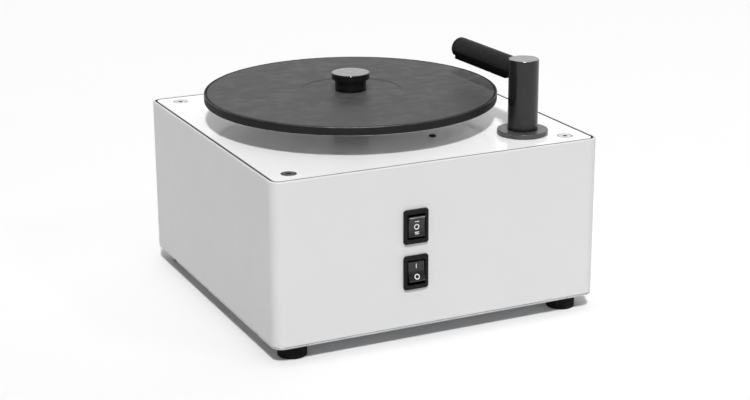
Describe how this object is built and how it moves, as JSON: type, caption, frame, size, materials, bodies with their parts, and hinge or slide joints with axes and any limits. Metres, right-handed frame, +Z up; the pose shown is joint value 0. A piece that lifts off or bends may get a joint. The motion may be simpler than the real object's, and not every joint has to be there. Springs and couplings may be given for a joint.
{
  "type": "record cleaning machine",
  "caption": "Vacuum record cleaning machine: square white case, round platter with a screw-down clamp, swinging suction arm and rocker switches.",
  "frame": {"origin": "on the floor, under the centre of the object's bounding box, which is also the case's centre", "axes": "+Z up; -Y is the front with the two rocker switches; +X is to the right seen from the front, the side of the suction arm"},
  "size_m": [0.32, 0.3314, 0.2343],
  "materials": {
    "case_paint": "satin white powder coat",
    "plate_paint": "semi-gloss white",
    "zinc_steel": "zinc plated",
    "bright_steel": "bright",
    "black_steel": "black oxide",
    "aluminium": "machined",
    "bronze": "sintered bronze",
    "black_paint": "satin black",
    "black_cast": "textured black",
    "mat_rubber": "matte dark grey",
    "black_rubber": "matte",
    "hose_rubber": "matte",
    "felt": "black felt",
    "black_plastic": "moulded black",
    "milk_plastic": "natural",
    "field_iron": "laminated iron",
    "lead_sleeve": "matte"
  },
  "bodies": {
    "chassis": {"casing": "case_paint", "top_plate": "plate_paint", "base_plate": "zinc_steel", "drive_bridge": "zinc_steel", "drive_motor": "zinc_steel", "tank_strap": "zinc_steel", "arm_spring": "bright_steel", "inlet_screw_left": "bright_steel", "inlet_screw_right": "bright_steel", "top_screw_front_left": "black_steel", "top_screw_front_right": "black_steel", "top_screw_back_left": "black_steel", "top_screw_back_right": "black_steel", "bridge_screw_front": "black_steel", "bridge_screw_back": "black_steel", "bridge_screw_left": "black_steel", "corner_post_front_left": "aluminium", "corner_post_front_right": "aluminium", "corner_post_back_left": "aluminium", "corner_post_back_right": "aluminium", "arm_guide_tube": "aluminium", "drive_gearbox": "aluminium", "bearing_bush": "bronze", "bearing_housing": "black_paint", "arm_flange": "black_cast", "foot_front_left": "black_rubber", "foot_front_right": "black_rubber", "foot_back_left": "black_rubber", "foot_back_right": "black_rubber", "top_gasket": "black_rubber", "blower_ring": "black_rubber", "suction_hose": "hose_rubber", "blower_hose": "hose_rubber", "motor_switch_body": "black_plastic", "vacuum_switch_body": "black_plastic", "mains_inlet": "black_plastic", "drain_spout": "black_plastic", "blower_housing": "black_plastic", "tank_body": "milk_plastic", "tank_lid": "milk_plastic", "motor_capacitor": "milk_plastic", "terminal_block": "milk_plastic", "blower_frame": "field_iron", "wiring_loom": "lead_sleeve"},
    "platter": {"platter_disc": "black_cast", "platter_mat": "mat_rubber", "platter_hub": "black_paint", "spindle": "bright_steel"},
    "clamp_slide": {"clamp_pad": "black_rubber"},
    "clamp": {"clamp_knob": "black_paint"},
    "arm_lift": {"thrust_collar": "milk_plastic"},
    "arm": {"arm_column": "black_paint", "suction_tube": "black_paint", "arm_end_cap": "black_paint", "felt_strip": "felt"},
    "motor_rocker": {"motor_rocker": "black_plastic"},
    "vacuum_rocker": {"vacuum_rocker": "black_plastic"},
    "blower_rotor": {"blower_rotor": "aluminium"},
    "drain_plug": {"drain_plug": "black_rubber"}
  },
  "joints": [
    {"name": "platter_spin", "type": "hinge", "parent": "chassis", "child": "platter", "pos_m": [-0.015, 0, 0.19], "axis": [0, 0, 1], "continuous": true},
    {"name": "clamp_lift", "type": "slide", "parent": "platter", "child": "clamp_slide", "axis": [0, 0, 1], "range_m": [0, 0.011]},
    {"name": "clamp_turn", "type": "hinge", "parent": "clamp_slide", "child": "clamp", "pos_m": [-0.015, 0, 0.2], "axis": [0, 0, 1], "range_deg": [0, 3960]},
    {"name": "arm_lift", "type": "slide", "parent": "chassis", "child": "arm_lift", "axis": [0, 0, 1], "range_m": [-0.017, 0], "stiffness_N_per_m": 300, "springref_m": 0.02, "deforming": ["arm_spring"]},
    {"name": "arm_swing", "type": "hinge", "parent": "arm_lift", "child": "arm", "pos_m": [0.1055, -0.1132, 0.22], "axis": [0, 0, 1], "range_deg": [-40, 50]},
    {"name": "motor_rocker_tilt", "type": "hinge", "parent": "chassis", "child": "motor_rocker", "pos_m": [-0.0265, -0.1558, 0.1081], "axis": [1, 0, 0], "range_deg": [-11, 11]},
    {"name": "vacuum_rocker_tilt", "type": "hinge", "parent": "chassis", "child": "vacuum_rocker", "pos_m": [-0.0265, -0.1558, 0.066], "axis": [1, 0, 0], "range_deg": [0, 22]},
    {"name": "blower_spin", "type": "hinge", "parent": "chassis", "child": "blower_rotor", "pos_m": [-0.092, 0.07, 0.05], "axis": [0, 0, 1], "continuous": true},
    {"name": "drain_plug_pull", "type": "slide", "parent": "chassis", "child": "drain_plug", "axis": [0, 1, 0], "range_m": [0, 0.012]}
  ],
  "couplings": [
    {"joint": "clamp_turn", "follows": "clamp_lift", "rad_per_m": 6283.2}
  ]
}
